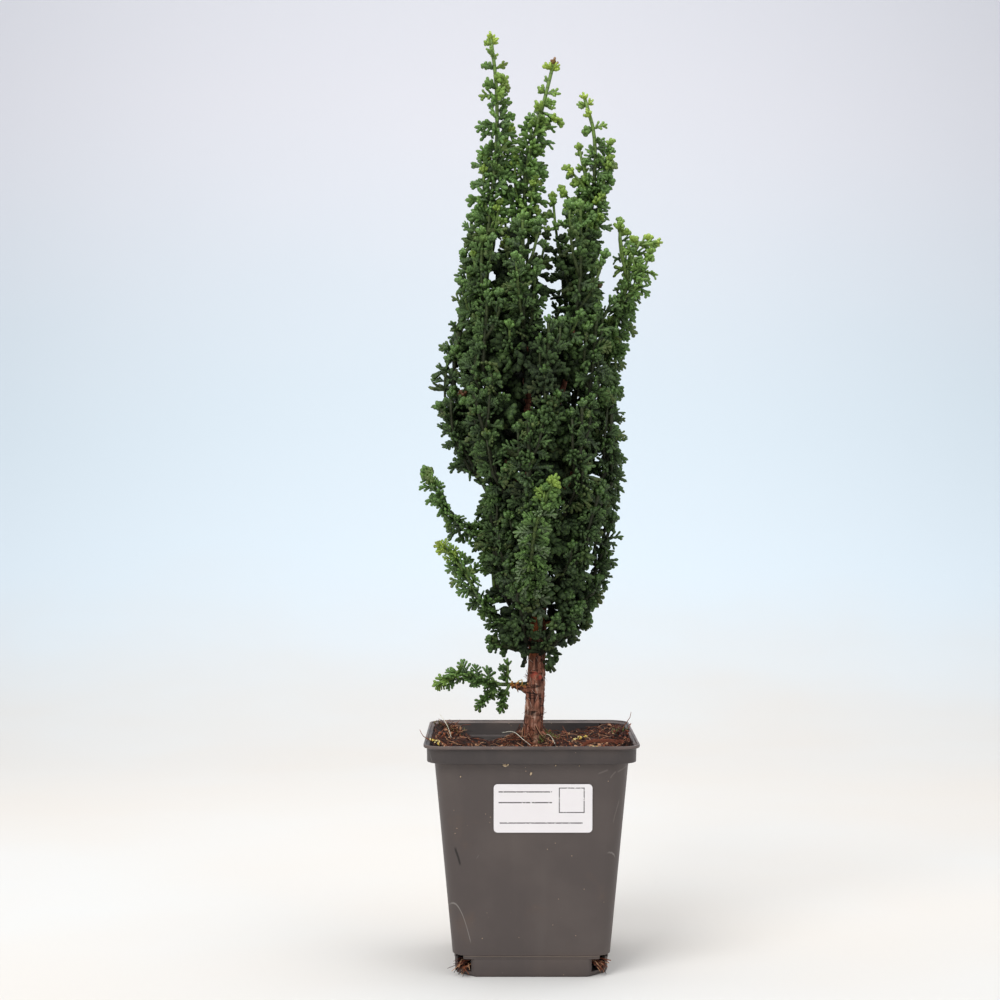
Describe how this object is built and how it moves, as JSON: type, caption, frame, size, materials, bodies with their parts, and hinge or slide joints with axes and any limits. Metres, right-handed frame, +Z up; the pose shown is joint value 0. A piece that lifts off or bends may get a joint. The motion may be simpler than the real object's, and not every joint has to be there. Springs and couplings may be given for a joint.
{
  "type": "hinoki cypress bonsai in a nursery pot",
  "caption": "Young upright hinoki cypress bonsai with dense scale-leaved sprays, a slim red-brown trunk and a square dark grey plastic nursery pot with a blank label.",
  "frame": {"origin": "centre of the pot's flat underside", "axes": "+Z up along the trunk, -Y out of the pot's front, which carries the label, +X to the right of someone who faces the front"},
  "size_m": [0.1239, 0.11, 0.4921],
  "materials": {
    "pot plastic": "satin, dusty and lightly scratched",
    "label paper": "smooth off-white label stock, blank",
    "peat": "loose fibrous peat and coir",
    "bark": "flaky red-brown bark",
    "old foliage": "dark green scale leaves",
    "new foliage": "yellow-green scale leaves"
  },
  "bodies": {
    "root": {"drain_roots_back_left": "bark", "drain_roots_back_right": "bark", "drain_roots_front_left": "bark", "drain_roots_front_right": "bark", "label": "label paper", "leader_left": "new foliage", "leader_middle": "new foliage", "leader_outer_right": "new foliage", "leader_right": "new foliage", "lower_spray_1": "old foliage", "lower_spray_2": "old foliage", "lower_spray_3": "old foliage", "lower_spray_4": "old foliage", "lower_spray_5": "old foliage", "lower_spray_6": "old foliage", "middle_spray_1": "old foliage", "middle_spray_2": "old foliage", "middle_spray_3": "old foliage", "middle_spray_4": "old foliage", "middle_spray_5": "old foliage", "middle_spray_6": "old foliage", "middle_spray_7": "old foliage", "middle_spray_8": "old foliage", "middle_spray_9": "old foliage", "pot": "pot plastic", "skirt_spray_1": "old foliage", "skirt_spray_2": "old foliage", "skirt_spray_3": "old foliage", "skirt_spray_4": "old foliage", "soil": "peat", "spray_bright_front": "new foliage", "spray_bright_left": "new foliage", "spray_low_left": "old foliage", "spray_tuft_left": "old foliage", "spray_tuft_right": "old foliage", "spray_upswept_left": "old foliage", "top_spray_1": "old foliage", "top_spray_2": "old foliage", "top_spray_3": "old foliage", "top_spray_4": "old foliage", "top_spray_5": "old foliage", "top_spray_6": "old foliage", "trunk_and_branches": "bark", "upper_spray_1": "old foliage", "upper_spray_2": "old foliage", "upper_spray_3": "old foliage", "upper_spray_4": "old foliage", "upper_spray_5": "old foliage", "upper_spray_6": "old foliage", "upper_spray_7": "old foliage", "upper_spray_8": "old foliage"}
  },
  "joints": []
}
